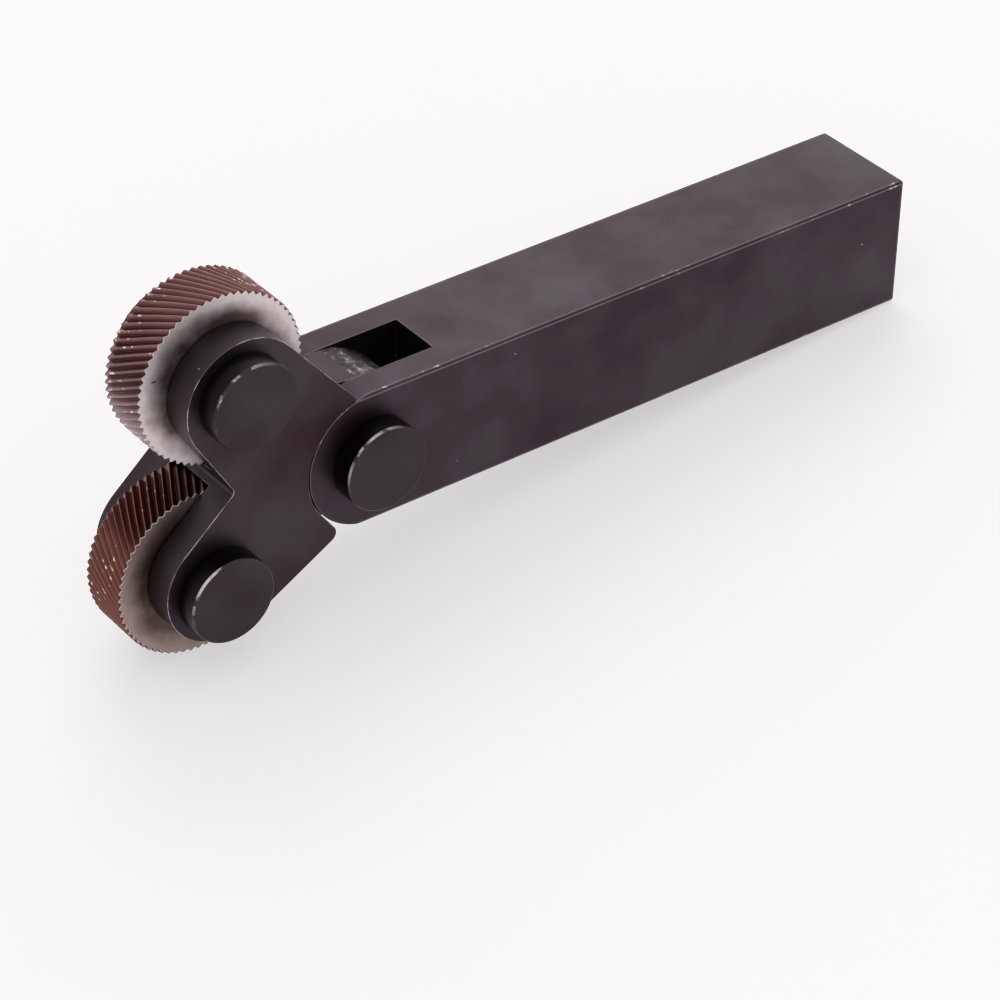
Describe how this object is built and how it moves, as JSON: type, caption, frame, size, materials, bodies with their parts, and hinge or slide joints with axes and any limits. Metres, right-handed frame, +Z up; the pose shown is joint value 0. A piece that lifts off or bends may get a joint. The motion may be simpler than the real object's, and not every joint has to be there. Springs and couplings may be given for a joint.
{
  "type": "knurling tool",
  "caption": "Lathe knurling tool: a rectangular steel shank with a forked nose, a swinging head on a pivot pin, and knurl wheels of opposite hand on pins in the head.",
  "frame": {"origin": "on the shank's bottom face, at the middle of its width and half way from the head's pivot to the rear end", "axes": "+X along the shank to its rear end, so the wheels are at -X; +Z up, out of the shank's top face; the pins' round heads are on the -Y side"},
  "size_m": [0.1356, 0.0235, 0.0557],
  "materials": {
    "blackened_steel": "black oxide over milled steel, satin, with edges rubbed bright",
    "blackened_pin": "black oxide over turned steel, satin",
    "knurl_steel": "hardened steel, ground side faces and cut teeth, oiled brown",
    "spring_steel": "blackened spring steel"
  },
  "bodies": {
    "shank_body": {"shank": "blackened_steel", "pivot_pin": "blackened_pin", "pivot_ring": "spring_steel"},
    "head_body": {"head": "blackened_steel", "upper_wheel_pin": "blackened_pin", "upper_wheel_ring": "spring_steel", "lower_wheel_pin": "blackened_pin", "lower_wheel_ring": "spring_steel"},
    "upper_wheel_body": {"upper_wheel": "knurl_steel"},
    "lower_wheel_body": {"lower_wheel": "knurl_steel"}
  },
  "joints": [
    {"name": "head_swing", "type": "hinge", "parent": "shank_body", "child": "head_body", "pos_m": [-0.0485, 0, 0.0105], "axis": [0, 1, 0], "range_deg": [-53.6, 19.4]},
    {"name": "upper_wheel_spin", "type": "hinge", "parent": "head_body", "child": "upper_wheel_body", "pos_m": [-0.06959, 0, 0.02886], "axis": [0, 1, 0], "continuous": true},
    {"name": "lower_wheel_spin", "type": "hinge", "parent": "head_body", "child": "lower_wheel_body", "pos_m": [-0.07408, 0, -0.0008], "axis": [0, 1, 0], "continuous": true}
  ]
}
